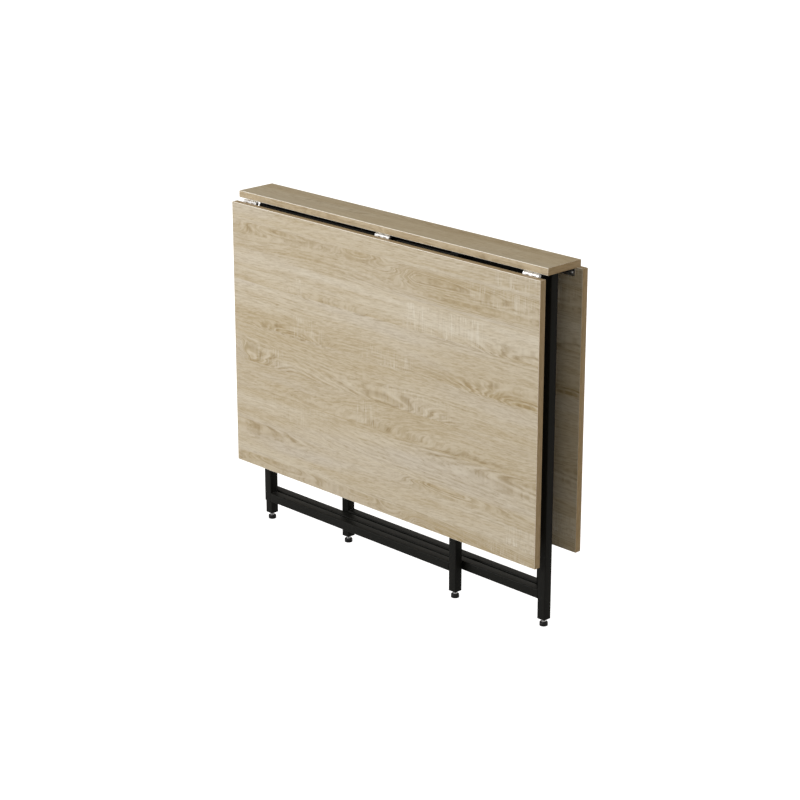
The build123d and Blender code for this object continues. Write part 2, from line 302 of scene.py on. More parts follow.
@lru_cache(maxsize=None)
def oak_group() -> bpy.types.NodeTree:
    """Sawn light oak: growth rings, fibres, tone and saw marks.

    The vector is in metres: along the grain, across it, and a seed. Strip is from 0 to 1 and
    differs from strip to strip. Flow is how many rings the flames push the figure aside, Glow
    how brown they are, Tone how pale the strip is and Marks where the saw left marks.

    Returns:
        The group.
    """
    rings_to_metre = 150.0
    ring_push = 5.5 * MM
    strip_shift = 91.0
    numbers = ("Strip", "Flow", "Glow", "Tone", "Marks")
    colours = ("Pale", "Tan", "Dark", "Grey", "Chalk")
    tree, given = open_group(
        "oak_figure",
        {"Vector": "Vector", **{name: "Float" for name in numbers}, **{name: "Color" for name in colours}},
        {"Color": "Color", "Height": "Float"},
    )
    u, v, seed = tree.split(given["Vector"])
    own = tree.math("MULTIPLY_ADD", given["Strip"], strip_shift, seed)

    def at(along: float, across: float, shift: float = 0.0, height: object = v) -> bpy.types.NodeSocket:
        """Where to read a noise that has so many waves to the metre along and across the grain."""
        shifted = tree.math("ADD", own, shift)
        return tree.place(tree.math("MULTIPLY", u, along), tree.math("MULTIPLY", height, across), shifted)

    # The run of the grain: it meanders, ripples, parts round the flames and leans in each strip.
    meander = tree.sway(tree.noise(at(1.7, 4.0), 1.0), 60.0 * MM)
    ripple = tree.sway(tree.noise(at(22.0, 50.0, 5.0), 1.0), 2.8 * MM)
    bent = tree.total(v, meander, ripple)
    rings = tree.math("MULTIPLY_ADD", bent, rings_to_metre, given["Flow"])
    flowing = tree.math("MULTIPLY_ADD", given["Flow"], ring_push, bent)
    any_share = tree.math("FRACT", tree.math("MULTIPLY", given["Strip"], 7.31))
    slope = tree.math("MULTIPLY_ADD", any_share, 0.20, -0.05)
    leaning = tree.math("SUBTRACT", flowing, tree.math("MULTIPLY", slope, u))

    # Growth rings: a dark line and a pale one in each, plainest near a flame.
    phase = tree.math("FRACT", rings)
    count = tree.place(tree.math("FLOOR", rings), own)
    strength = tree.add("ShaderNodeTexWhiteNoise", {0: count}, noise_dimensions="2D").outputs[0]
    line = tree.math("MULTIPLY", tree.remap(phase, 0.0, 0.14), tree.remap(phase, 0.16, 0.70, 1.0, 0.0))
    pale_line = tree.math("MULTIPLY", tree.remap(phase, 0.50, 0.75), tree.remap(phase, 0.78, 1.0, 1.0, 0.0))
    near = tree.remap(tree.math("ABSOLUTE", given["Flow"]), 0.25, 2.2)
    some = tree.remap(tree.noise(at(1.4, 26.0, 11.0), 2.0), 0.46, 0.66, 0.08, 0.62)
    shown = tree.math("MAXIMUM", near, some)
    drawn = tree.math("MULTIPLY", shown, tree.math("MULTIPLY_ADD", strength, 0.80, 0.20))

    # Broad bands, cool streaks, mottling, fibres and pores.
    band = tree.remap(tree.noise(at(1.2, 26.0, 23.0, flowing), 3.0, 0.6), 0.30, 0.70)
    cool = tree.remap(tree.noise(at(1.8, 13.0, 59.0, flowing), 2.0), 0.48, 0.68)
    mottle = tree.remap(tree.noise(at(5.0, 80.0, 61.0, flowing), 2.0), 0.30, 0.70)
    fibre = tree.remap(tree.noise(at(38.0, 330.0, 29.0, leaning), 2.0, 0.7), 0.36, 0.64)
    pore = tree.remap(tree.noise(at(70.0, 700.0, 31.0, leaning), 2.0, 0.6), 0.52, 0.68)

    # Saw marks stand across the grain, so they are short along it.
    strokes = tree.remap(tree.noise(at(230.0, 12.0, 37.0), 2.0, 0.7), 0.54, 0.64)
    fine_strokes = tree.remap(tree.noise(at(520.0, 30.0, 39.0), 1.0), 0.50, 0.64)
    gaps = tree.remap(tree.noise(at(200.0, 14.0, 43.0), 1.0), 0.54, 0.66)
    worn = tree.remap(tree.noise(at(24.0, 60.0, 45.0), 2.0), 0.36, 0.60, 0.15, 1.0)
    marks = tree.math("MULTIPLY", given["Marks"], worn)
    all_strokes = tree.math("MAXIMUM", strokes, tree.math("MULTIPLY", fine_strokes, 0.50))
    saw = tree.math("MULTIPLY", marks, all_strokes)
    dark_saw = tree.math("MULTIPLY", tree.math("MULTIPLY", marks, gaps), tree.math("SUBTRACT", 1.0, saw))

    # The colour: tan to pale by its tone, then cooler, then the dark, pale and chalky marks.
    share = tree.total(
        tree.math("MULTIPLY", given["Tone"], 0.52), tree.math("MULTIPLY", band, 0.34),
        tree.math("MULTIPLY", mottle, 0.28), tree.math("MULTIPLY", given["Glow"], -0.50), -0.02,
    )
    colour = tree.mix(tree.math("MAXIMUM", share, 0.0), given["Tan"], given["Pale"])
    cold = tree.math("MULTIPLY", cool, tree.math("MULTIPLY", given["Tone"], 0.95))
    colour = tree.mix(cold, colour, given["Grey"])
    light_by = tree.total(
        tree.math("MULTIPLY", tree.math("MULTIPLY", pale_line, drawn), 0.42),
        tree.math("MULTIPLY", fibre, 0.26),
    )
    dark_by = tree.total(
        tree.math("MULTIPLY", tree.math("MULTIPLY", line, drawn), 0.40),
        tree.math("MULTIPLY", tree.math("SUBTRACT", 1.0, fibre), 0.20),
        tree.math("MULTIPLY", pore, 0.26),
        tree.math("MULTIPLY", dark_saw, 0.16),
    )
    colour = tree.mix(tree.math("MINIMUM", dark_by, 0.9), colour, given["Dark"])
    colour = tree.mix(tree.math("MINIMUM", light_by, 0.9), colour, given["Pale"])
    colour = tree.mix(tree.math("MULTIPLY", saw, 0.52), colour, given["Chalk"])
    height = tree.math("SUBTRACT", tree.math("MULTIPLY", saw, 0.3), dark_by)
    return close_group(tree, {"Color": colour, "Height": height})


@lru_cache(maxsize=None)
def grit_group() -> bpy.types.NodeTree:
    """Fine grit and soft clouds, for powder coat and moulded plastic.

    Returns:
        The group.
    """
    clouds_to_metre = 14.0
    tree, given = open_group(
        "fine_grit", {"Vector": "Vector", "Grain": "Float"}, {"Grit": "Float", "Cloud": "Float"}
    )
    grit = tree.noise(tree.scaled(given["Vector"], given["Grain"]), 3.0, 0.6)
    cloud = tree.noise(tree.scaled(given["Vector"], clouds_to_metre), 3.0, 0.55)
    return close_group(tree, {"Grit": grit, "Cloud": cloud})


# ---------------------------------------------------------------- finishes


def open_material(name: str) -> tuple[bpy.types.Material, Tree, bpy.types.Node]:
    """Starts a material with one Principled shader.

    Args:
        name: the material's name.

    Returns:
        The material, its tree and the shader.
    """
    material = bpy.data.materials.new(name)
    material.use_nodes = True
    material.node_tree.nodes.clear()
    tree = Tree(material.node_tree)
    shader = tree.add("ShaderNodeBsdfPrincipled")
    tree.add("ShaderNodeOutputMaterial", {"Surface": shader.outputs[0]})
    return material, tree, shader


def add_bump(tree: Tree, shader: bpy.types.Node, height: bpy.types.NodeSocket, depth: float) -> None:
    """Gives a shader a relief.

    Args:
        tree: the material's tree.
        shader: the Principled shader.
        height: the relief.
        depth: how deep its full height is.
    """
    bump = tree.add("ShaderNodeBump", {"Height": height, "Strength": 1.0, "Distance": depth})
    tree.feed(bump.outputs[0], shader.inputs["Normal"])


@dataclass(frozen=True)
class Strip:
    """One of the strips of oak that a face is glued up from.

    Attributes:
        low: its lower edge, across the grain.
        high: its upper edge.
        own: a number from 0 to 1 that only this strip has.
        flames: the flames in it.
    """

    low: float
    high: float
    own: float
    flames: tuple[Flame, ...] = ()


@dataclass(frozen=True)
class Flame:
    """A swelling in the figure of a strip.

    Attributes:
        middle: its middle, along and across the grain.
        left: its reach along the grain towards -u.
        right: its reach towards +u.
        half: its reach across the grain.
        rings: how many rings it pushes aside.
        glow: how brown it is.
    """

    middle: tuple[float, float]
    left: float
    right: float
    half: float
    rings: float
    glow: float = 0.3


@dataclass(frozen=True)
class SawPatch:
    """A patch where a coarse saw left its marks.

    Attributes:
        middle: its middle, along and across the grain.
        half: half its size along and across the grain.
        strength: how plain the marks are.
    """

    middle: tuple[float, float]
    half: tuple[float, float]
    strength: float = 1.0


@dataclass(frozen=True)
class OakFinish:
    """Printed light oak, as on the faces and the edging of the panels.

    Attributes:
        name: the material's name.
        along: the axis that the grain runs along.
        across: the axis that it lies across.
        strips: the strips, from the lowest up.
        tones: how pale the wood is at some places across the grain, from the lowest up.
        patches: the patches of saw marks.
        seed: which stretch of oak it is cut from.
        pale: the lightest wood.
        tan: the darker wood.
        dark: rings and pores.
        grey: the cooler wood.
        chalk: saw marks.
        roughness: the satin of the laminate.
    """

    name: str
    along: Along
    across: Along
    strips: tuple[Strip, ...]
    tones: tuple[tuple[float, float], ...] = ((0.0, 0.5),)
    patches: tuple[SawPatch, ...] = ()
    seed: float = 0.0
    pale: Colour = (0.645, 0.578, 0.455)
    tan: Colour = (0.425, 0.325, 0.172)
    dark: Colour = (0.260, 0.180, 0.074)
    grey: Colour = (0.580, 0.524, 0.440)
    chalk: Colour = (0.740, 0.695, 0.595)
    roughness: float = 0.48

    def ramp(
        self, tree: Tree, across: bpy.types.NodeSocket, stops: list[tuple[float, float]], blend: str
    ) -> bpy.types.NodeSocket:
        """A value that changes across the grain.

        Args:
            tree: the material's tree.
            across: the place across the grain, from -1 to 1 m.
            stops: places and values, from the lowest up.
            blend: how it goes from one to the next.

        Returns:
            The value's socket.
        """
        ramp = tree.add("ShaderNodeValToRGB", {0: tree.math("MULTIPLY_ADD", across, 0.5, 0.5)})
        ramp.color_ramp.interpolation = blend
        points = ramp.color_ramp.elements
        points.remove(points[-1])
        for number, (place, value) in enumerate(stops):
            point = points[0] if number == 0 else points.new(place / 2 + 0.5)
            point.position = place / 2 + 0.5
            point.color = (value, value, value, 1.0)
        return tree.add("ShaderNodeSeparateColor", {0: ramp.outputs["Color"]}).outputs[0]

    def lay_flames(self, tree: Tree, grain: bpy.types.NodeSocket) -> tuple[object, object]:
        """Adds up the flames.

        Args:
            tree: the material's tree.
            grain: the place along and across the grain.

        Returns:
            How many rings they push aside, and how brown they are.
        """
        u, v, _ = tree.split(grain)
        place = tree.place(tree.math("MULTIPLY", u, 9.0), tree.math("MULTIPLY", v, 75.0), 3.3)
        waver = tree.sway(tree.noise(place, 2.0), 60.0 * MM)
        flow: object = 0.0
        glow: object = 0.0
        for strip in self.strips:
            for flame in strip.flames:
                swell = tree.group(flame_group(), {
                    "Vector": grain, "Middle U": flame.middle[0], "Middle V": flame.middle[1],
                    "Left": flame.left, "Right": flame.right, "Half": flame.half,
                    "Low": strip.low, "High": strip.high, "Waver": waver,
                }).outputs[0]
                flow = tree.math("MULTIPLY_ADD", swell, flame.rings, flow)
                glow = tree.math("MAXIMUM", tree.math("MULTIPLY", swell, flame.glow), glow)
        return flow, glow

    def lay_marks(self, tree: Tree, grain: bpy.types.NodeSocket) -> object:
        """Adds up the patches of saw marks.

        Args:
            tree: the material's tree.
            grain: the place along and across the grain.

        Returns:
            How plain the marks are.
        """
        marks: object = 0.0
        for patch in self.patches:
            mask = tree.group(saw_patch_group(), {
                "Vector": grain, "Middle U": patch.middle[0], "Middle V": patch.middle[1],
                "Half U": patch.half[0], "Half V": patch.half[1],
            }).outputs[0]
            marks = tree.math("MAXIMUM", tree.math("MULTIPLY", mask, patch.strength), marks)
        return marks

    def make(self) -> bpy.types.Material:
        """Builds the material.

        Returns:
            The material.
        """
        material, tree, shader = open_material(self.name)
        place = tree.split(tree.add("ShaderNodeTexCoord").outputs["Object"])
        across = place[self.across.value]
        grain = tree.place(place[self.along.value], across, self.seed)
        flow, glow = self.lay_flames(tree, grain)
        oak = tree.group(oak_group(), {
            "Vector": grain, "Flow": flow, "Glow": glow, "Marks": self.lay_marks(tree, grain),
            "Strip": self.ramp(tree, across, [(strip.low, strip.own) for strip in self.strips], "CONSTANT"),
            "Tone": self.ramp(tree, across, list(self.tones), "LINEAR"),
            "Pale": self.pale, "Tan": self.tan, "Dark": self.dark, "Grey": self.grey, "Chalk": self.chalk,
        })
        tree.feed(oak.outputs["Color"], shader.inputs["Base Color"])
        rough = tree.math("MULTIPLY_ADD", oak.outputs["Height"], -0.12, self.roughness)
        tree.feed(rough, shader.inputs["Roughness"])
        shader.inputs["Specular IOR Level"].default_value = 0.35
        add_bump(tree, shader, oak.outputs["Height"], 0.10 * MM)
        return material


@dataclass(frozen=True)
class GritFinish:
    """Powder coat or moulded plastic: one colour with fine grit in its surface.

    Attributes:
        name: the material's name.
        colour: the colour.
        roughness: how dull it is.
        grain: how many grains it has to the metre.
        depth: how deep the grit is.
        gloss: the shader's specular level.
    """

    name: str
    colour: Colour
    roughness: float
    grain: float
    depth: float
    gloss: float

    def make(self) -> bpy.types.Material:
        """Builds the material.

        Returns:
            The material.
        """
        material, tree, shader = open_material(self.name)
        place = tree.add("ShaderNodeTexCoord").outputs["Object"]
        grit = tree.group(grit_group(), {"Vector": place, "Grain": self.grain})
        lighter = tuple(1.7 * part for part in self.colour)
        tree.feed(tree.mix(grit.outputs["Cloud"], self.colour, lighter), shader.inputs["Base Color"])
        rough = tree.math("MULTIPLY_ADD", grit.outputs["Cloud"], 0.16, self.roughness - 0.08)
        tree.feed(rough, shader.inputs["Roughness"])
        shader.inputs["Specular IOR Level"].default_value = self.gloss
        add_bump(tree, shader, grit.outputs["Grit"], self.depth)
        return material


@dataclass(frozen=True)
class SteelFinish:
    """Bright plated steel with faint brushing.

    Attributes:
        name: the material's name.
        colour: the plating's colour.
        tint: what its thicker places turn to.
        roughness: how dull it is.
        along: the axis that the brushing runs along.
    """

    name: str
    colour: Colour
    tint: Colour
    roughness: float
    along: Along

    def make(self) -> bpy.types.Material:
        """Builds the material.

        Returns:
            The material.
        """
        lines_to_metre, breaks_to_metre, stains_to_metre = 1800.0, 60.0, 90.0
        material, tree, shader = open_material(self.name)
        place = tree.add("ShaderNodeTexCoord").outputs["Object"]
        scale = [lines_to_metre] * 3
        scale[self.along.value] = breaks_to_metre
        stretched = tree.add("ShaderNodeVectorMath", {0: place, 1: tuple(scale)}, operation="MULTIPLY")
        brushing = tree.noise(stretched.outputs[0], 2.0)
        cloud = tree.remap(tree.noise(tree.scaled(place, stains_to_metre), 3.0), 0.35, 0.7)
        tree.feed(tree.mix(cloud, self.colour, self.tint), shader.inputs["Base Color"])
        rough = tree.math("MULTIPLY_ADD", brushing, 0.22, self.roughness - 0.11)
        tree.feed(tree.math("MULTIPLY_ADD", cloud, 0.08, rough), shader.inputs["Roughness"])
        shader.inputs["Metallic"].default_value = 1.0
        add_bump(tree, shader, brushing, 0.02 * MM)
        return material


@dataclass(frozen=True)
class Finishes:
    """Every finish of the table, made once.

    Attributes:
        leaf: the faces of the leaves.
        board: the faces of the centre board.
        board_long: edging along the board's long edges.
        board_end: edging of the board's ends, painted browner as shade.
        leaf_long: edging along a leaf's upper and lower edge, painted browner as shade.
        leaf_end: edging of a leaf's ends, painted browner as shade.
        trimmed: the rounded corner of the edging, painted nearly white as a highlight where it catches the
            light.
        paint: powder coat of the frame and the gates.
        zinc: plating of the hinges, pins and studs.
        screw: plating of the screws.
        plastic: end plugs, feet, bushes and pads.
    """

    leaf: bpy.types.Material
    board: bpy.types.Material
    board_long: bpy.types.Material
    board_end: bpy.types.Material
    leaf_long: bpy.types.Material
    leaf_end: bpy.types.Material
    trimmed: bpy.types.Material
    paint: bpy.types.Material
    zinc: bpy.types.Material
    screw: bpy.types.Material
    plastic: bpy.types.Material

    @staticmethod
    def leaf_face() -> OakFinish:
        """The figure of a leaf's faces, from its lower edge up.

        Returns:
            The finish.
        """
        strips = (
            Strip(-1.0, 0.180, 0.137, (
                Flame((-0.330, 0.180), 0.13, 0.18, 0.016, -6.0, 0.6),
                Flame((-0.045, 0.180), 0.08, 0.07, 0.014, -5.0, 0.9),
                Flame((0.130, 0.160), 0.05, 0.30, 0.022, -8.0, 0.7),
            )),
            Strip(0.180, 0.257, 0.613, (
                Flame((-0.450, 0.257), 0.10, 0.22, 0.022, -6.0, 0.6),
                Flame((0.180, 0.257), 0.09, 0.16, 0.013, -6.0, 0.9),
            )),
            Strip(0.257, 0.334, 0.289, (
                Flame((0.540, 0.334), 0.34, 0.15, 0.028, -9.0, 0.7),
            )),
            Strip(0.334, 0.397, 0.771, (
                Flame((0.080, 0.334), 0.45, 0.40, 0.018, 3.5, 0.4),
            )),
            Strip(0.397, 0.480, 0.452, (
                Flame((-0.405, 0.397), 0.020, 0.10, 0.034, 7.0, 1.0),
                Flame((0.050, 0.397), 0.20, 0.15, 0.026, 7.0, 0.5),
            )),
            Strip(0.480, 0.574, 0.905, (
                Flame((-0.250, 0.480), 0.12, 0.09, 0.014, 6.0, 0.8),
                Flame((0.400, 0.480), 0.13, 0.22, 0.026, 9.0, 0.8),
            )),
            Strip(0.574, 0.637, 0.338, (
                Flame((-0.120, 0.574), 0.14, 0.16, 0.012, 3.0, 0.4),
                Flame((0.450, 0.574), 0.14, 0.14, 0.024, 7.0, 0.7),
            )),
            Strip(0.637, 0.711, 0.061, (
                Flame((-0.330, 0.711), 0.13, 0.18, 0.016, -6.0, 0.6),
                Flame((-0.045, 0.711), 0.08, 0.07, 0.014, -5.0, 0.9),
                Flame((0.120, 0.696), 0.050, 0.36, 0.024, -9.0, 0.8),
                Flame((0.300, 0.655), 0.30, 0.30, 0.016, 3.0, 0.7),
            )),
            Strip(0.711, 1.0, 0.523),
        )
        tones = (
            (0.155, 0.35), (0.180, 0.40), (0.184, 0.75), (0.225, 0.70), (0.240, 0.30), (0.256, 0.35),
            (0.260, 0.75), (0.310, 0.80), (0.328, 0.45), (0.350, 0.50), (0.390, 0.30), (0.402, 0.40),
            (0.475, 0.40), (0.490, 0.15), (0.530, 0.60), (0.572, 0.80), (0.578, 0.60), (0.600, 0.95),
            (0.640, 0.85), (0.660, 0.22), (0.708, 0.22), (0.714, 0.40), (0.740, 0.50),
        )
        patches = (
            SawPatch((0.190, 0.605), (0.125, 0.031)),
            SawPatch((0.350, 0.690), (0.110, 0.022), 0.7),
            SawPatch((0.395, 0.733), (0.070, 0.020), 0.8),
            SawPatch((-0.256, 0.595), (0.040, 0.021), 0.9),
            SawPatch((-0.216, 0.506), (0.060, 0.027), 0.8),
            SawPatch((0.026, 0.500), (0.085, 0.021), 0.9),
            SawPatch((-0.330, 0.421), (0.055, 0.022), 0.7),
            SawPatch((0.117, 0.421), (0.110, 0.024), 0.6),
            SawPatch((-0.030, 0.364), (0.042, 0.029), 0.8),
            SawPatch((-0.250, 0.309), (0.110, 0.026), 0.4),
            SawPatch((0.412, 0.205), (0.050, 0.025)),
            SawPatch((0.350, 0.168), (0.110, 0.012), 0.8),
        )
        return OakFinish("oak_leaf_face", Along.X, Along.Z, strips, tones, patches)

    @staticmethod
    def board_face() -> OakFinish:
        """The figure of the board's faces, from its front edge back.

        Returns:
            The finish.
        """
        strips = (
            Strip(-1.0, 0.014, 0.523, (Flame((-0.250, -0.010), 0.15, 0.20, 0.016, 5.0),)),
            Strip(0.014, 1.0, 0.181, (Flame((0.180, 0.030), 0.20, 0.25, 0.014, 6.0, 0.6),)),
        )
        tones = ((-0.048, 0.75), (0.008, 0.70), (0.018, 0.20), (0.040, 0.25))
        patches = (SawPatch((0.29, -0.012), (0.07, 0.022), 0.6),)
        return OakFinish(
            "oak_board_face", Along.X, Along.Y, strips, tones, patches, seed=7.3,
            pale=(0.575, 0.490, 0.340), tan=(0.400, 0.295, 0.155), grey=(0.510, 0.435, 0.312),
        )

    @staticmethod
    def band(
        name: str, along: Along, across: Along, seed: float, brown: float, flames: tuple[Flame, ...] = (),
    ) -> OakFinish:
        """The figure of an edging strip, with painted shade that makes it browner.

        Args:
            name: the material's name.
            along: the axis that it runs along.
            across: the axis of the panel's thickness.
            seed: which stretch of oak it is.
            brown: how far it is painted browner and darker, as painted shade, from 0 to 1.
            flames: the flames in it.

        Returns:
            The finish.
        """

        def blend(light: Colour, deep: Colour) -> Colour:
            """A colour between a light one and a deep one, the deep one standing for painted shade."""
            return tuple(one + (other - one) * brown for one, other in zip(light, deep))

        return OakFinish(
            name, along, across, (Strip(-1.0, 1.0, 0.31, flames),), seed=seed,
            pale=blend((0.585, 0.500, 0.350), (0.480, 0.345, 0.185)),
            tan=blend((0.420, 0.322, 0.185), (0.340, 0.222, 0.100)),
            dark=blend((0.240, 0.165, 0.078), (0.180, 0.108, 0.045)),
            grey=blend((0.500, 0.420, 0.290), (0.420, 0.300, 0.160)),
            roughness=0.5,
        )

    @classmethod
    def make(cls) -> Finishes:
        """Builds them all.

        Returns:
            The set.
        """
        return cls(
            leaf=cls.leaf_face().make(),
            board=cls.board_face().make(),
            # The brown of the edging is painted shade: the ends and the leaves' long edges are painted
            # browner and darker for the light that they lack.
            board_long=cls.band("oak_board_long_band", Along.X, Along.Z, 2.1, 0.15, (
                Flame((0.020, 0.757), 0.030, 0.14, 0.008, 4.0, 1.2),
                Flame((0.065, 0.768), 0.015, 0.06, 0.006, -4.0, 0.9),
                Flame((-0.330, 0.768), 0.060, 0.16, 0.006, -3.0, 0.7),
                Flame((0.340, 0.757), 0.080, 0.10, 0.007, 3.0, 0.7),
            )).make(),
            board_end=cls.band("oak_board_end_band", Along.Y, Along.Z, 4.7, 0.9).make(),
            leaf_long=cls.band("oak_leaf_long_band", Along.X, Along.Y, 3.3, 0.7).make(),
            leaf_end=cls.band("oak_leaf_end_band", Along.Z, Along.Y, 5.9, 0.9).make(),
            # The rounded corners of the edging are painted nearly white: a painted highlight.
            trimmed=OakFinish(
                "oak_trimmed_corner", Along.X, Along.Z, (Strip(-1.0, 1.0, 0.5),), seed=9.1,
                pale=(0.95, 0.91, 0.82), tan=(0.90, 0.85, 0.74), dark=(0.78, 0.71, 0.58),
                grey=(0.92, 0.88, 0.80), roughness=0.35,
            ).make(),
            paint=GritFinish(
                "black_powder_coat", colour=(0.0068, 0.0068, 0.0058), roughness=0.42,
                grain=1500.0, depth=0.05 * MM, gloss=0.16,
            ).make(),
            zinc=SteelFinish(
                "bright_zinc", colour=(0.95, 0.95, 0.96), tint=(0.87, 0.88, 0.89), roughness=0.34,
                along=Along.X,
            ).make(),
            screw=SteelFinish(
                "screw_zinc", colour=(0.80, 0.81, 0.83), tint=(0.66, 0.67, 0.70), roughness=0.30,
                along=Along.Z,
            ).make(),
            plastic=GritFinish(
                "black_plastic", colour=(0.0060, 0.0060, 0.0060), roughness=0.42,
                grain=900.0, depth=0.03 * MM, gloss=0.36,
            ).make(),
        )


# ---------------------------------------------------------------- making meshes


def extent(verts: list[bmesh.types.BMVert]) -> tuple[Vector, Vector]:
    """Lowest and highest corner of some vertices.

    Args:
        verts: the vertices.

    Returns:
        The two corners.
    """
    low = Vector(min(vert.co[axis] for vert in verts) for axis in range(3))
    high = Vector(max(vert.co[axis] for vert in verts) for axis in range(3))
    return low, high


def fit(bm: bmesh.types.BMesh, verts: list[bmesh.types.BMVert], low: Vector, high: Vector) -> None:
    """Scales and moves vertices so that they fill a box.

    Args:
        bm: their mesh.
        verts: the vertices.
        low: the box's lowest corner.
        high: its highest corner.
    """
    was_low, was_high = extent(verts)
    size = was_high - was_low
    scale = [(high[n] - low[n]) / size[n] if size[n] > NEAR else 1.0 for n in range(3)]
    middle = (was_low + was_high) / 2
    bmesh.ops.scale(bm, vec=scale, verts=verts, space=Matrix.Translation(-middle))
    bmesh.ops.translate(bm, vec=(Vector(low) + Vector(high)) / 2 - middle, verts=verts)


def block(low: Vector, high: Vector) -> bmesh.types.BMesh:
    """A plain block, to be shaped further.

    Args:
        low: its lowest corner.
        high: its highest corner.

    Returns:
        The mesh.
    """
    bm = bmesh.new()
    bmesh.ops.create_cube(bm, size=1.0)
    fit(bm, bm.verts[:], low, high)
    return bm


def round_edges(bm: bmesh.types.BMesh, edges: list[bmesh.types.BMEdge], radius: float, segments: int) -> None:
    """Rounds some edges.

    Args:
        bm: the mesh.
        edges: the edges.
        radius: how far it cuts back from them.
        segments: the number of steps.
    """
    bmesh.ops.bevel(
        bm, geom=edges, offset=radius, offset_type="OFFSET", segments=segments, profile=0.5,
        affect="EDGES", material=-1, clamp_overlap=True,
    )


def break_edges(bm: bmesh.types.BMesh, radius: float, segments: int = 1, angle: float = 40.0) -> None:
    """Takes the sharpness off every edge that turns by more than an angle in degrees.

    Args:
        bm: the mesh.
        radius: how far it cuts back.
        segments: the number of steps.
        angle: the least turn.
    """
    sharp = [edge for edge in bm.edges if edge.is_manifold and edge.calc_face_angle() > math.radians(angle)]
    round_edges(bm, sharp, radius, segments)


def stamp(target: bmesh.types.BMesh, part: bmesh.types.BMesh, place: Matrix, slot: int = 0) -> None:
    """Adds a copy of a part to a mesh.

    Args:
        target: the mesh that takes it.
        part: the part, which stays as it is.
        place: where it goes.
        slot: which of the piece's finishes it has.
    """
    mesh = bpy.data.meshes.new("stamp")
    part.to_mesh(mesh)
    mesh.transform(place)
    if place.determinant() < 0:
        mesh.flip_normals()
    first = len(target.faces)
    target.from_mesh(mesh)
    target.faces.ensure_lookup_table()
    for face in target.faces[first:]:
        face.material_index = slot
    bpy.data.meshes.remove(mesh)


def turned(profile: list[tuple[float, float]], steps: int = 32) -> bmesh.types.BMesh:
    """A turned solid about +Z, closed by its poles.

    Args:
        profile: radius and height from the lower pole to the upper one; both are on the axis.
        steps: how many sides it has.

    Returns:
        The mesh.
    """
    bm = bmesh.new()
    verts = [bm.verts.new((radius, 0.0, height)) for radius, height in profile]
    edges = [bm.edges.new(pair) for pair in zip(verts, verts[1:])]
    bmesh.ops.spin(
        bm, geom=verts + edges, cent=(0, 0, 0), axis=(0, 0, 1), angle=math.tau, steps=steps, use_merge=True
    )
    bmesh.ops.remove_doubles(bm, verts=bm.verts, dist=NEAR)
    bmesh.ops.recalc_face_normals(bm, faces=bm.faces)
    return bm


def new_piece(
    name: str, bm: bmesh.types.BMesh, finishes: list[bpy.types.Material], angle: float = 32.0
) -> bpy.types.Object:
    """Makes an object of a mesh whose place is already in it.

    Args:
        name: the piece's name.
        bm: the mesh, which is used up.
        finishes: the finishes that its faces have.
        angle: the turn in degrees past which an edge stays sharp.

    Returns:
        The object.
    """
    mesh = bpy.data.meshes.new(name)
    bm.to_mesh(mesh)
    bm.free()
    for finish in finishes:
        mesh.materials.append(finish)
    mesh.shade_smooth()
    mesh.set_sharp_from_angle(angle=math.radians(angle))
    piece = bpy.data.objects.new(name, mesh)
    bpy.context.scene.collection.objects.link(piece)
    return piece


def half_turn(side: str) -> Matrix:
    """The turn that carries the front of the table to a side."""
    return Matrix.Rotation(math.pi if side == "back" else 0.0, 4, "Z")


def seat(piece: bpy.types.Object, body: str, slot: str, *nodes: str) -> None:
    """Puts a piece on a body in the place of some nodes.

    Args:
        piece: the piece.
        body: the body that it moves with.
        slot: the name of a material slot; not used.
        nodes: the nodes that it stands for.
    """
    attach(piece, body)
    if nodes:
        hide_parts(*nodes)
    log.info("%s rides on %s and has %d faces", piece.name, body, len(piece.data.polygons))


# ---------------------------------------------------------------- sub-assemblies


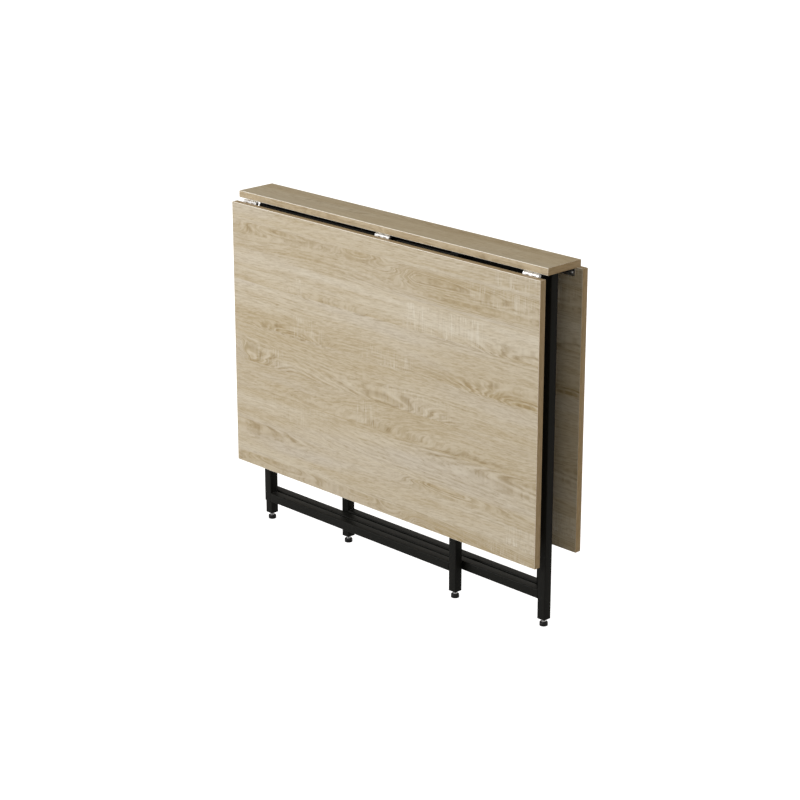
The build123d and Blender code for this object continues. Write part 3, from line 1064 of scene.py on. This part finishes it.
@dataclass
class Panel:
    """A laminated board with edging strips glued round it.

    Attributes:
        name: the node that is its board.
        body: the body that it moves with.
        flat: the axis of its thickness.
        face: the finish of its faces.
        band_long: the finish of the strips along X.
        band_short: the finish of the two end strips.
        trimmed: the finish of the rounded corners along X, a painted highlight.
        strip: thickness of the edging.
        round_over: radius of the edging's outer edges.
        joint: how far the faces' own edges are cut back along the strips.
    """

    name: str
    body: str
    flat: Along
    face: bpy.types.Material
    band_long: bpy.types.Material
    band_short: bpy.types.Material
    trimmed: bpy.types.Material
    strip: float = 1.0 * MM
    round_over: float = 0.9 * MM
    joint: float = 0.12 * MM

    def build_board(self) -> bpy.types.Object:
        """Makes the board between the strips.

        Returns:
            The piece.
        """
        bm = block(*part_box(self.name))
        round_edges(bm, bm.edges[:], self.joint, 1)
        return new_piece(f"{self.name}_laminate", bm, [self.face])

    def strip_block(self, low: Vector, high: Vector, axis: int, glued: float) -> bmesh.types.BMesh:
        """Makes one strip.

        Args:
            low: its lowest corner.
            high: its highest corner.
            axis: the axis that its glued side lies across.
            glued: where that side is.

        Returns:
            The strip's mesh.
        """
        bm = block(low, high)
        joined = [edge for edge in bm.edges if all(abs(vert.co[axis] - glued) < NEAR for vert in edge.verts)]
        outer = [edge for edge in bm.edges if edge not in joined and self.rounded(edge, high - low)]
        round_edges(bm, outer, self.round_over, 4)
        return bm

    def rounded(self, edge: bmesh.types.BMEdge, size: Vector) -> bool:
        """Whether an edge of a strip is rounded: on a strip along X only the two long ones are."""
        run = edge.verts[0].co - edge.verts[1].co
        return size.x < 2 * self.strip or abs(run.x) > 2 * self.strip

    def build_band(self) -> bpy.types.Object:
        """Makes the four edging strips, each with its own run of grain.

        Returns:
            The piece.
        """
        low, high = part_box(f"{self.name}_edging")
        across = Along.Y.value if self.flat is Along.Z else Along.Z.value
        long_slot, short_slot, trimmed_slot = 0, 1, 2
        bm = bmesh.new()
        for axis, slot in ((Along.X.value, short_slot), (across, long_slot)):
            for end in ("low", "high"):
                start, stop = low.copy(), high.copy()
                if axis != Along.X.value:
                    start.x, stop.x = low.x + self.strip, high.x - self.strip
                if end == "low":
                    glued = low[axis] + self.strip
                    stop[axis] = glued
                else:
                    glued = high[axis] - self.strip
                    start[axis] = glued
                part = self.strip_block(start, stop, axis, glued)
                stamp(bm, part, Matrix.Identity(4), slot)
                part.free()
        bm.normal_update()
        # The rounded corners along X take the painted highlight finish.
        for face in bm.faces:
            if self.is_trimmed(face.normal):
                face.material_index = trimmed_slot
        return new_piece(f"{self.name}_band", bm, [self.band_long, self.band_short, self.trimmed])

    @staticmethod
    def is_trimmed(normal: Vector) -> bool:
        """Whether a face is part of a rounded corner along X, which takes the painted highlight, and not of a
        flat side.
        """
        level, square = 0.3, 0.995
        return abs(normal.x) < level and max(abs(part) for part in normal) < square

    def build(self) -> None:
        """Makes the whole panel."""
        seat(self.build_board(), self.body, "oak_panel", self.name)
        seat(self.build_band(), self.body, "edging", f"{self.name}_edging")


@dataclass
class TubeFrame:
    """A frame of square tube, welded where its rails meet its uprights.

    Attributes:
        name: what the frame is called.
        body: the body that it moves with.
        uprights: the nodes of its upright tubes.
        rails: the nodes of its level tubes.
        paint: its powder coat.
        wall: the tube's wall.
        corner: radius of its corners.
        bead: radius of a weld bead.
        ripple: length of one ripple of a bead.
        swell: how much thicker a bead is at a ripple than between two.
        inset: how far a bead stays short of the tube's sides.
    """

    name: str
    body: str
    uprights: tuple[str, ...]
    rails: tuple[str, ...]
    paint: bpy.types.Material
    wall: float = 1.2 * MM
    corner: float = 1.8 * MM
    bead: float = 1.7 * MM
    ripple: float = 1.3 * MM
    swell: float = 1.16
    inset: float = 2.5 * MM

    def build_tube(self, node: str) -> bpy.types.Object:
        """Makes one tube.

        Args:
            node: the node whose place it takes.

        Returns:
            The piece.
        """
        low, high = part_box(node)
        size = high - low
        run = max(range(3), key=lambda axis: size[axis])
        bm = block(low, high)
        ends = [face for face in bm.faces if abs(face.normal[run]) > 0.5]
        bmesh.ops.delete(bm, geom=ends, context="FACES_ONLY")
        lengthways = [
            edge for edge in bm.edges if abs((edge.verts[0].co - edge.verts[1].co)[run]) > size[run] / 2
        ]
        round_edges(bm, lengthways, self.corner, 5)
        bmesh.ops.recalc_face_normals(bm, faces=bm.faces)
        bmesh.ops.solidify(bm, geom=bm.faces[:], thickness=self.wall)
        return new_piece(f"{node}_tube", bm, [self.paint])

    def build_bead(self, run: float) -> bmesh.types.BMesh:
        """Makes a rippled weld bead along +X from the origin.

        Args:
            run: its length.

        Returns:
            The bead's mesh.
        """
        bm = bmesh.new()
        rings = max(4, 2 * round(run / self.ripple))
        made = bmesh.ops.create_circle(bm, cap_ends=True, radius=self.bead, segments=10)
        bmesh.ops.rotate(bm, verts=made["verts"], cent=(0, 0, 0), matrix=Matrix.Rotation(math.pi / 2, 3, "Y"))
        cap = bm.faces[:]
        for ring in range(rings):
            made = bmesh.ops.extrude_face_region(bm, geom=cap)["geom"]
            verts = [part for part in made if isinstance(part, bmesh.types.BMVert)]
            cap = [part for part in made if isinstance(part, bmesh.types.BMFace)]
            bmesh.ops.translate(bm, verts=verts, vec=(run / rings, 0, 0))
            size = self.swell if ring % 2 == 0 else 1 / self.swell
            middle = Vector((run * (ring + 1) / rings, 0, 0))
            bmesh.ops.scale(bm, verts=verts, vec=(1, size, size), space=Matrix.Translation(-middle))
        bmesh.ops.recalc_face_normals(bm, faces=bm.faces)
        return bm

    def build_welds(self) -> bpy.types.Object:
        """Makes the beads over and under each end of each rail, in its corner with the upright.

        Returns:
            The piece.
        """
        bm = bmesh.new()
        for node in self.rails:
            low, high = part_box(node)
            bead = self.build_bead(high.y - low.y - 2 * self.inset)
            turn = Matrix.Rotation(math.pi / 2, 4, "Z")
            for x in (low.x, high.x):
                for z in (low.z, high.z):
                    stamp(bm, bead, Matrix.Translation((x, low.y + self.inset, z)) @ turn)
            bead.free()
        return new_piece(f"{self.name}_welds", bm, [self.paint], 60.0)

    def build(self) -> None:
        """Makes the whole frame."""
        for node in (*self.uprights, *self.rails):
            seat(self.build_tube(node), self.body, "frame_steel", node)
        seat(self.build_welds(), self.body, "frame_steel")


@dataclass
class Screw:
    """A pan-head screw with a cross recess.

    Attributes:
        head: radius of the head.
        high: height of the head.
        shank: radius of the shank.
        length: how far the shank reaches under the head.
        steps: sides of the head, a multiple of four.
    """

    head: float
    high: float
    shank: float
    length: float
    steps: int = 24

    def build(self) -> bmesh.types.BMesh:
        """Makes the screw: its head points along +Z and sits on the origin, its shank goes down.

        Returns:
            The screw's mesh.
        """
        bm = bmesh.new()
        arm, reach, deep = 0.16 * self.head, 0.56 * self.head, 0.55 * self.high
        taper = 0.72
        crown, crown_high = 0.70 * self.head, 0.97 * self.high
        bmesh.ops.create_grid(bm, x_segments=3, y_segments=3, size=reach)
        for vert in bm.verts:
            for axis in (0, 1):
                if abs(vert.co[axis]) < 0.6 * reach:
                    vert.co[axis] = math.copysign(arm, vert.co[axis])
        bmesh.ops.translate(bm, verts=bm.verts, vec=(0, 0, self.high))
        rim = [edge for edge in bm.edges if edge.is_boundary]
        corners = [
            face for face in bm.faces
            if min(abs(face.calc_center_median().x), abs(face.calc_center_median().y)) > 0.5 * arm
        ]
        cross = [face for face in bm.faces if face not in corners]
        sunk = bmesh.ops.extrude_face_region(bm, geom=cross)["geom"]
        verts = [part for part in sunk if isinstance(part, bmesh.types.BMVert)]
        bmesh.ops.translate(bm, verts=verts, vec=(0, 0, -deep))
        bmesh.ops.scale(bm, verts=verts, vec=(taper, taper, 1.0))
        bmesh.ops.delete(bm, geom=cross, context="FACES_ONLY")
        ring = bmesh.ops.create_circle(bm, cap_ends=False, radius=crown, segments=self.steps)["verts"]
        bmesh.ops.translate(bm, verts=ring, vec=(0, 0, crown_high))
        edges = list({edge for vert in ring for edge in vert.link_edges})
        bmesh.ops.bridge_loops(bm, edges=rim + edges)
        thin = self.shank / self.head
        tip = -self.length / self.high
        for radius, height in (
            (0.88, 0.80), (0.97, 0.52), (1.0, 0.25), (0.98, 0.0), (thin, 0.0), (thin, tip),
        ):
            edges = self.grow(bm, edges, radius * self.head, height * self.high)
        bmesh.ops.holes_fill(bm, edges=edges, sides=0)
        bmesh.ops.recalc_face_normals(bm, faces=bm.faces)
        return bm

    @staticmethod
    def grow(bm: bmesh.types.BMesh, edges: list, radius: float, height: float) -> list:
        """Carries a round rim on to a new radius and height.

        Args:
            bm: the mesh.
            edges: the rim's edges.
            radius: the new radius.
            height: the new height.

        Returns:
            The new rim's edges.
        """
        made = bmesh.ops.extrude_edge_only(bm, edges=edges)["geom"]
        verts = [part for part in made if isinstance(part, bmesh.types.BMVert)]
        was = verts[0].co.xy.length
        bmesh.ops.scale(bm, verts=verts, vec=(radius / was, radius / was, 1.0))
        bmesh.ops.translate(bm, verts=verts, vec=(0, 0, height - verts[0].co.z))
        return [part for part in made if isinstance(part, bmesh.types.BMEdge)]


@dataclass
class Hinge:
    """A drop-leaf hinge: a short flap under the board and a long one on the leaf.

    In a flap's own frame X runs along the axis, Y along the flap and Z towards the panel.

    Attributes:
        side: front or back.
        spot: left, middle or right.
        zinc: its plating.
        run: length of the hinge.
        knuckles: how many knuckles it has.
        gap: gap between two knuckles.
        sheet: thickness of the sheet that it is bent from.
        start: how far from the axis the whole flap starts.
        offset: how far the axis is from the near side of a flap.
        corner: radius of a flap's corners.
        pin: radius of the pin.
        curl: how far a knuckle is curled, in degrees.
        worn: how far its edges are cut back.
    """

    side: str
    spot: str
    zinc: bpy.types.Material
    run: float = 41.0 * MM
    knuckles: int = 5
    gap: float = 0.25 * MM
    sheet: float = 1.5 * MM
    start: float = 5.0 * MM
    offset: float = 3.0 * MM
    corner: float = 3.0 * MM
    pin: float = 2.5 * MM
    curl: float = 296.0
    worn: float = 0.14 * MM

    def build_flap(self, reach: float, own: range) -> bmesh.types.BMesh:
        """Makes a flap with its curled knuckles, the axis at the origin.

        Args:
            reach: how far the flap reaches from the axis.
            own: which knuckles it has.

        Returns:
            The flap's mesh.
        """
        bm = bmesh.new()
        bmesh.ops.create_grid(bm, x_segments=self.knuckles, y_segments=1, size=0.5)
        low = Vector((-self.run / 2, self.start, self.offset))
        high = Vector((self.run / 2, reach, self.offset))
        fit(bm, bm.verts[:], low, high)
        made = bmesh.ops.extrude_face_region(bm, geom=bm.faces[:])["geom"]
        top = [part for part in made if isinstance(part, bmesh.types.BMVert)]
        bmesh.ops.translate(bm, verts=top, vec=(0, 0, self.sheet))
        bmesh.ops.recalc_face_normals(bm, faces=bm.faces)
        far = {
            vert for vert in bm.verts
            if abs(vert.co.y - reach) < NEAR and abs(abs(vert.co.x) - self.run / 2) < NEAR
        }
        corners = [edge for edge in bm.edges if far.issuperset(edge.verts)]
        round_edges(bm, corners, self.corner, 6)
        pitch = self.run / self.knuckles
        for number in own:
            middle = (number - (self.knuckles - 1) / 2) * pitch
            self.curl_knuckle(bm, middle, (pitch - self.gap) / pitch)
        break_edges(bm, self.worn, 2, 50.0)
        return bm

    def curl_knuckle(self, bm: bmesh.types.BMesh, middle: float, narrow: float) -> None:
        """Draws one finger out of the flap and curls it round the pin.

        Args:
            bm: the flap.
            middle: where the finger is along the axis.
            narrow: its width as a share of the flap's.
        """
        root = [
            face for face in bm.faces
            if abs(face.calc_center_median().y - self.start) < NEAR
            and abs(face.calc_center_median().x - middle) < self.gap
        ]
        finger, verts = self.draw_out(bm, root)
        bmesh.ops.scale(bm, verts=verts, vec=(narrow, 1, 1), space=Matrix.Translation((-middle, 0, 0)))
        for share in (0.5, 0.5):
            finger, verts = self.draw_out(bm, finger)
            drop = (self.offset - self.pin) * share
            bmesh.ops.translate(bm, verts=verts, vec=(0, -self.start * share, -drop))
        bmesh.ops.spin(
            bm, geom=finger, cent=(0, 0, 0), axis=(1, 0, 0), angle=math.radians(self.curl), steps=26,
            use_merge=False,
        )

    @staticmethod
    def draw_out(bm: bmesh.types.BMesh, faces: list) -> tuple[list, list]:
        """Extrudes faces by nothing.

        Args:
            bm: the mesh.
            faces: the faces.

        Returns:
            The new faces and their vertices.
        """
        made = bmesh.ops.extrude_face_region(bm, geom=faces)["geom"]
        verts = [part for part in made if isinstance(part, bmesh.types.BMVert)]
        return [part for part in made if isinstance(part, bmesh.types.BMFace)], verts

    def build(self) -> None:
        """Makes both flaps where the nodes are."""
        turn = half_turn(self.side)
        fixed = f"hinge_fixed_{self.side}_{self.spot}"
        moving = f"hinge_moving_{self.side}_{self.spot}"
        low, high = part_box(fixed)
        pins_low, pins_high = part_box(f"hinge_pins_{self.side}")
        axis = turn.inverted() @ ((pins_low + pins_high) / 2)
        place = (turn.inverted() @ ((low + high) / 2)).x
        reach = high.y - low.y - (self.pin + self.sheet)
        long_reach = axis.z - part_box(moving)[0].z
        origin = Matrix.Translation((place, axis.y, axis.z))
        on_leaf = Matrix(((-1, 0, 0, 0), (0, 0, -1, 0), (0, -1, 0, 0), (0, 0, 0, 1)))
        for node, body, size, own, lie in (
            (fixed, "frame", reach, range(1, self.knuckles, 2), Matrix.Identity(4)),
            (moving, f"leaf_{self.side}", long_reach, range(0, self.knuckles, 2), on_leaf),
        ):
            flap = self.build_flap(size, own)
            bm = bmesh.new()
            stamp(bm, flap, turn @ origin @ lie)
            flap.free()
            seat(new_piece(f"{node}_flap", bm, [self.zinc]), body, "bright_steel", node)


@dataclass
class ScrewSet:
    """The screws of the plates and of the hinge flaps.

    Attributes:
        finish: their plating.
        hinge_places: where the hinges are along X.
        pitch: from a hinge's middle to each of its screws.
        flap_in: from the hinge axis to the screws of a fixed flap.
        flap_down: from the hinge axis to the screws of a moving flap.
        plate_out: from the middle plane to the screws of a plate.
        plate_side: from the middle of the middle plate to its screws.
        sheet: thickness of a flap.
    """

    finish: bpy.types.Material
    hinge_places: tuple[float, ...]
    pitch: float = 13.0 * MM
    flap_in: float = 10.0 * MM
    flap_down: float = 12.5 * MM
    plate_out: float = 17.0 * MM
    plate_side: float = 22.0 * MM
    sheet: float = 1.5 * MM

    def flap_screw(self) -> bmesh.types.BMesh:
        """Makes a screw of a flap."""
        return Screw(head=3.0 * MM, high=1.2 * MM, shank=1.7 * MM, length=11.0 * MM).build()

    def plate_screw(self) -> bmesh.types.BMesh:
        """Makes a screw of a plate."""
        return Screw(head=3.5 * MM, high=2.0 * MM, shank=1.95 * MM, length=12.5 * MM).build()

    def build_board_screws(self) -> bpy.types.Object:
        """Makes the screws that go up into the board.

        Returns:
            The piece.
        """
        bm = bmesh.new()
        down = Matrix.Rotation(math.pi, 4, "X")
        plate_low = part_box("top_plate_middle")[0].z
        flap_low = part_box("centre_board")[0].z - self.sheet
        post = sum(corner.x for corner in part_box("end_post_right")) / 2
        spots = [(x, y, plate_low) for x in (-post, post) for y in (-self.plate_out, self.plate_out)]
        spots += [(turn * self.plate_side, -turn * self.plate_out, plate_low) for turn in (-1, 1)]
        self.scatter(bm, self.plate_screw(), spots, down)
        axis = sum(corner.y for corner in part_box("hinge_pins_back")) / 2
        spots = [
            (place + shift, turn * (axis - self.flap_in), flap_low)
            for turn in (-1, 1) for place in self.hinge_places for shift in (-self.pitch, self.pitch)
        ]
        self.scatter(bm, self.flap_screw(), spots, down)
        return new_piece("board_screw_set", bm, [self.finish])

    def build_leaf_screws(self, side: str) -> bpy.types.Object:
        """Makes the screws that hold the moving flaps to a leaf.

        Args:
            side: front or back.

        Returns:
            The piece.
        """
        bm = bmesh.new()
        turn = half_turn(side)
        face = abs(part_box("leaf_front")[1].y) - self.sheet
        axis = sum(corner.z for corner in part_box("hinge_pins_front")) / 2
        spots = [
            (place + shift, -face, axis - self.flap_down)
            for place in self.hinge_places for shift in (-self.pitch, self.pitch)
        ]
        inwards = Matrix.Rotation(-math.pi / 2, 4, "X")
        self.scatter(bm, self.flap_screw(), spots, inwards, turn)
        return new_piece(f"leaf_{side}_screw_set", bm, [self.finish])

    @staticmethod
    def scatter(
        bm: bmesh.types.BMesh, screw: bmesh.types.BMesh, spots: list[Point], aim: Matrix,
        turn: Matrix = Matrix.Identity(4),
    ) -> None:
        """Sets a screw at each spot, each turned in by a different amount.

        Args:
            bm: the mesh that takes them.
            screw: the screw, which is used up.
            spots: where their heads sit.
            aim: the turn that points a head the right way.
            turn: a turn of the whole set.
        """
        first_turn, next_turn = 11.0, 37.0
        for number, spot in enumerate(spots):
            driven = Matrix.Rotation(math.radians(first_turn + next_turn * number), 4, "Z")
            stamp(bm, screw, turn @ Matrix.Translation(spot) @ aim @ driven)
        screw.free()

    def build(self) -> None:
        """Makes every screw."""
        seat(self.build_board_screws(), "frame", "bright_steel", "board_screws")
        for side in SIDES:
            node = f"hinge_screws_leaf_{side}"
            seat(self.build_leaf_screws(side), f"leaf_{side}", "bright_steel", node)


@dataclass
class Foot:
    """A levelling foot: a moulded disc on a threaded stud.

    Attributes:
        name: which leg it is under.
        plastic: the disc's finish.
        zinc: the stud's finish.
        round_over: radius of the disc's upper edge.
        pitch: the thread's pitch.
        thread: depth of the thread.
        steps: sides of one turn.
    """

    name: str
    plastic: bpy.types.Material
    zinc: bpy.types.Material
    round_over: float = 1.8 * MM
    pitch: float = 1.25 * MM
    thread: float = 0.65 * MM
    steps: int = 28

    def build_disc(self) -> bpy.types.Object:
        """Makes the disc: a tread round a hollow sole, a rounded rim and a sunk middle round the stud.

        Returns:
            The piece.
        """
        low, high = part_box(f"foot_disc_{self.name}")
        radius, top = (high.x - low.x) / 2, high.z - low.z
        hollow, sunk, steps = 0.4 * MM, 0.35 * MM, 6
        profile = [(0.0, hollow), (radius - 2.2 * MM, hollow), (radius - 1.8 * MM, 0.0)]
        profile += [(radius - 0.6 * MM, 0.0), (radius - 0.15 * MM, 0.25 * MM), (radius, 0.7 * MM)]
        for step in range(steps + 1):
            angle = math.pi / 2 * step / steps
            out = radius - self.round_over * (1 - math.cos(angle))
            profile.append((out, top - self.round_over * (1 - math.sin(angle))))
        profile += [(radius - 3.3 * MM, top), (radius - 3.6 * MM, top - sunk), (0.0, top - sunk)]
        bm = turned(profile, 48)
        centre = (low + high) / 2
        bmesh.ops.translate(bm, verts=bm.verts, vec=(centre.x, centre.y, low.z))
        return new_piece(f"foot_disc_{self.name}_moulding", bm, [self.plastic])

    def build_stud(self) -> bpy.types.Object:
        """Makes the stud with its thread.

        Returns:
            The piece.
        """
        low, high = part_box(f"foot_stud_{self.name}")
        crest = (high.x - low.x) / 2
        root = crest - self.thread
        turns = int((high.z - low.z) / self.pitch) - 1
        bm = bmesh.new()
        profile = ((root, 0.0), (root, 0.12), (crest, 0.46), (crest, 0.62), (root, 0.96), (root, 1.0))
        verts = [bm.verts.new((radius, 0.0, share * self.pitch)) for radius, share in profile]
        edges = [bm.edges.new(pair) for pair in zip(verts, verts[1:])]
        bmesh.ops.spin(
            bm, geom=verts + edges, cent=(0, 0, 0), axis=(0, 0, 1), dvec=(0, 0, self.pitch / self.steps),
            angle=math.tau * turns, steps=self.steps * turns, use_merge=False,
        )
        bmesh.ops.remove_doubles(bm, verts=bm.verts, dist=NEAR)
        bmesh.ops.holes_fill(bm, edges=[edge for edge in bm.edges if edge.is_boundary], sides=0)
        bmesh.ops.recalc_face_normals(bm, faces=bm.faces)
        centre = (low + high) / 2
        bmesh.ops.translate(bm, verts=bm.verts, vec=(centre.x, centre.y, low.z))
        return new_piece(f"foot_stud_{self.name}_thread", bm, [self.zinc], 25.0)

    def build(self) -> None:
        """Makes the whole foot."""
        for piece, part, slot in (
            (self.build_disc(), "foot_disc", "black_plastic"),
            (self.build_stud(), "foot_stud", "bright_steel"),
        ):
            seat(piece, f"foot_{self.name}", slot, f"{part}_{self.name}")


@dataclass
class Table:
    """The whole table.

    Attributes:
        finishes: its finishes.
        nodes: the frame's nodes by name.
    """

    finishes: Finishes
    nodes: dict[str, bpy.types.Object]

    def build_panels(self) -> None:
        """Makes the centre board and the leaves."""
        kit = self.finishes
        Panel(
            "centre_board", "frame", Along.Z, kit.board, kit.board_long, kit.board_end, kit.trimmed
        ).build()
        for side in SIDES:
            leaf = f"leaf_{side}"
            Panel(leaf, leaf, Along.Y, kit.leaf, kit.leaf_long, kit.leaf_end, kit.trimmed).build()

    def build_steel(self) -> None:
        """Makes the centre frame and the gates."""
        paint = self.finishes.paint
        posts, rails = ("end_post_left", "end_post_right"), ("frame_bottom_rail", "frame_top_rail")
        TubeFrame("frame", "frame", posts, rails, paint).build()
        for side in SIDES:
            gate = f"gate_{side}"
            uprights = (f"{gate}_pivot_post", f"{gate}_free_leg")
            TubeFrame(gate, gate, uprights, (f"{gate}_bottom_rail", f"{gate}_top_rail"), paint).build()

    def build_fittings(self) -> None:
        """Makes the hinges, the screws and the feet."""
        zinc = self.finishes.zinc
        for side in SIDES:
            for spot in SPOTS:
                Hinge(side, spot, zinc).build()
        places = []
        for spot in SPOTS:
            low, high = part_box(f"hinge_fixed_back_{spot}")
            places.append((low.x + high.x) / 2)
        ScrewSet(self.finishes.screw, tuple(places)).build()
        for name in ("left", "right", "gate_front", "gate_back"):
            Foot(name, self.finishes.plastic, zinc).build()

    def dress_nodes(self) -> None:
        """Gives the nodes that stay their finishes."""
        kinds = {
            "plate": self.finishes.paint, "lug": self.finishes.paint, "pin": self.finishes.paint,
            "pins": self.finishes.zinc, "plug": self.finishes.plastic, "bushes": self.finishes.plastic,
            "pad": self.finishes.plastic,
        }
        for name, node in self.nodes.items():
            if node.hide_render:
                continue
            kind = next(word for word in name.split("_") if word in kinds)
            for place in node.material_slots:
                place.material = kinds[kind]
            log.info("%s stays, as %s", name, kinds[kind].name)

    def build(self) -> None:
        """Makes everything."""
        self.build_panels()
        self.build_steel()
        self.build_fittings()
        self.dress_nodes()


# ---------------------------------------------------------------- studio


@dataclass(frozen=True)
class Light:
    """A soft square light aimed at the table.

    Attributes:
        name: what it is called.
        azimuth: where it stands round the table, in degrees from -Y towards +X.
        elevation: its angle above the horizon, in degrees.
        distance: how far it is.
        size: its side.
        level: how bright it makes a white surface that faces it.
        colour: its colour.
    """

    name: str
    azimuth: float
    elevation: float
    distance: float
    size: float
    level: float
    colour: Colour

    def build(self, aim: Vector) -> None:
        """Makes the light.

        Args:
            aim: the point that it is aimed at.
        """
        data = bpy.data.lights.new(self.name, "AREA")
        data.shape = "SQUARE"
        data.size = self.size
        data.energy = self.level * (math.pi * self.distance) ** 2
        data.color = self.colour
        light = bpy.data.objects.new(self.name, data)
        turn, rise = math.radians(self.azimuth), math.radians(self.elevation)
        away = Vector((math.sin(turn) * math.cos(rise), -math.cos(turn) * math.cos(rise), math.sin(rise)))
        light.location = aim + self.distance * away
        light.rotation_euler = away.to_track_quat("Z", "Y").to_euler()
        light.visible_camera = False
        bpy.context.scene.collection.objects.link(light)


@dataclass
class Studio:
    """A pale floor, an even surrounding, three soft lights and the camera.

    Attributes:
        camera_place: where the camera stands.
        camera_turn: its turn about X and Z, in degrees.
        lens: its focal length in millimetres.
        sensor: the width of its sensor in millimetres.
        aim: the point that the lights are aimed at.
        floor_half: how far the floor reaches.
        floor_grey: how much light the floor gives back.
        floor_glow: the white that the camera sees on top of that.
        surround: the colour and brightness of the surrounding as a light.
        lights: the key light, a weak fill, and a low light behind.
    """

    camera_place: Point = (3.2007, -3.1692, 1.9144)
    camera_turn: tuple[float, float] = (71.244, 45.29)
    lens: float = 101.38
    sensor: float = 36.0
    aim: Point = (0.0, 0.0, 0.42)
    floor_half: float = 40.0
    floor_grey: float = 0.55
    floor_glow: float = 0.97
    surround: Colour = (0.425, 0.408, 0.372)
    lights: tuple[Light, ...] = (
        Light("key", -20.0, 24.0, distance=4.5, size=2.6, level=0.69, colour=(0.99, 0.99, 1.02)),
        Light("fill", 80.0, 30.0, distance=5.0, size=2.5, level=0.06, colour=(1.0, 0.96, 0.90)),
        Light("back", 178.0, 6.0, distance=5.0, size=2.4, level=0.38, colour=(1.0, 0.99, 0.97)),
    )

    def build_camera(self) -> None:
        """Makes the camera."""
        data = bpy.data.cameras.new("camera")
        data.lens = self.lens
        data.sensor_width = self.sensor
        camera = bpy.data.objects.new("camera", data)
        camera.location = self.camera_place
        camera.rotation_euler = (math.radians(self.camera_turn[0]), 0.0, math.radians(self.camera_turn[1]))
        bpy.context.scene.collection.objects.link(camera)
        bpy.context.scene.camera = camera

    def build_world(self) -> None:
        """Makes an even surrounding that the camera sees as white."""
        world = bpy.data.worlds.new("surround")
        world.use_nodes = True
        world.node_tree.nodes.clear()
        tree = Tree(world.node_tree)
        seen = tree.add("ShaderNodeLightPath").outputs["Is Camera Ray"]
        back = tree.add("ShaderNodeBackground", {"Color": tree.mix(seen, self.surround, (1.0, 1.0, 1.0))})
        tree.add("ShaderNodeOutputWorld", {"Surface": back.outputs[0]})
        bpy.context.scene.world = world

    def build_floor(self) -> None:
        """Makes the floor, which can't be seen from below."""
        bm = bmesh.new()
        bmesh.ops.create_grid(bm, x_segments=1, y_segments=1, size=self.floor_half)
        material = bpy.data.materials.new("pale_floor")
        material.use_nodes = True
        material.node_tree.nodes.clear()
        tree = Tree(material.node_tree)
        light_path = tree.add("ShaderNodeLightPath").outputs["Is Camera Ray"]
        below = tree.add("ShaderNodeNewGeometry").outputs["Backfacing"]
        grey = (self.floor_grey, self.floor_grey, self.floor_grey)
        dull = tree.add("ShaderNodeBsdfDiffuse", {"Color": grey})
        glow = tree.add("ShaderNodeEmission", {"Color": (1.0, 1.0, 1.0), "Strength": self.floor_glow})
        pale = tree.add("ShaderNodeAddShader", {0: dull.outputs[0], 1: glow.outputs[0]})
        shown = tree.add("ShaderNodeMixShader", {0: light_path, 1: dull.outputs[0], 2: pale.outputs[0]})
        clear = tree.add("ShaderNodeBsdfTransparent")
        both = tree.add("ShaderNodeMixShader", {0: below, 1: shown.outputs[0], 2: clear.outputs[0]})
        tree.add("ShaderNodeOutputMaterial", {"Surface": both.outputs[0]})
        new_piece("floor", bm, [material])

    def build(self) -> None:
        """Makes the whole studio."""
        self.build_camera()
        self.build_floor()
        self.build_world()
        for light in self.lights:
            light.build(Vector(self.aim))
        bpy.context.scene.view_settings.view_transform = "Standard"


def main() -> None:
    """Builds the table in its studio."""
    logging.basicConfig(level=logging.INFO, format="%(name)s: %(message)s")
    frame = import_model()
    Studio().build()
    Table(Finishes.make(), frame["nodes"]).build()


if __name__ == "__main__":
    main()
